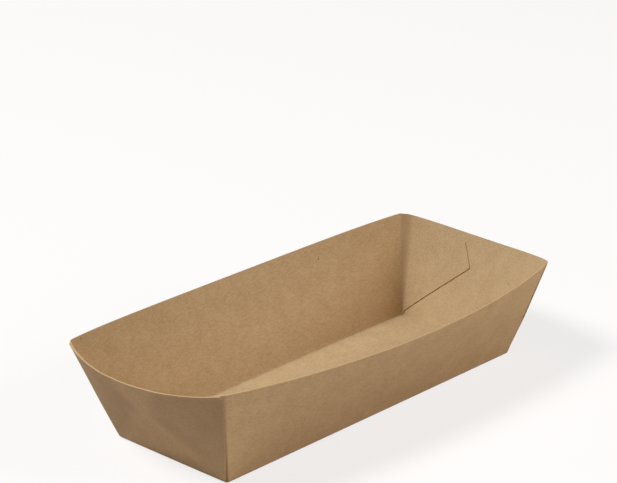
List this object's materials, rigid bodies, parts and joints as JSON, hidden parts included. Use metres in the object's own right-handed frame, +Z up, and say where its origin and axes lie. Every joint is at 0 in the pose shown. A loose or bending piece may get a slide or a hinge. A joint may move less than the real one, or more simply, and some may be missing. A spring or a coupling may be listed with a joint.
{
  "type": "folded paperboard food tray",
  "caption": "Open rectangular tray folded from one paperboard blank, with leaning bowed walls, for holding and serving food.",
  "frame": {"origin": "middle of the tray's box, on the surface that the floor stands on", "axes": "+X along the length, +Y across from the front wall to the back wall, +Z up"},
  "size_m": [0.2188, 0.1034, 0.0453],
  "materials": {
    "kraft_board": "matt uncoated brown kraft"
  },
  "bodies": {
    "root": {"folded_tray": "kraft_board"}
  },
  "joints": []
}
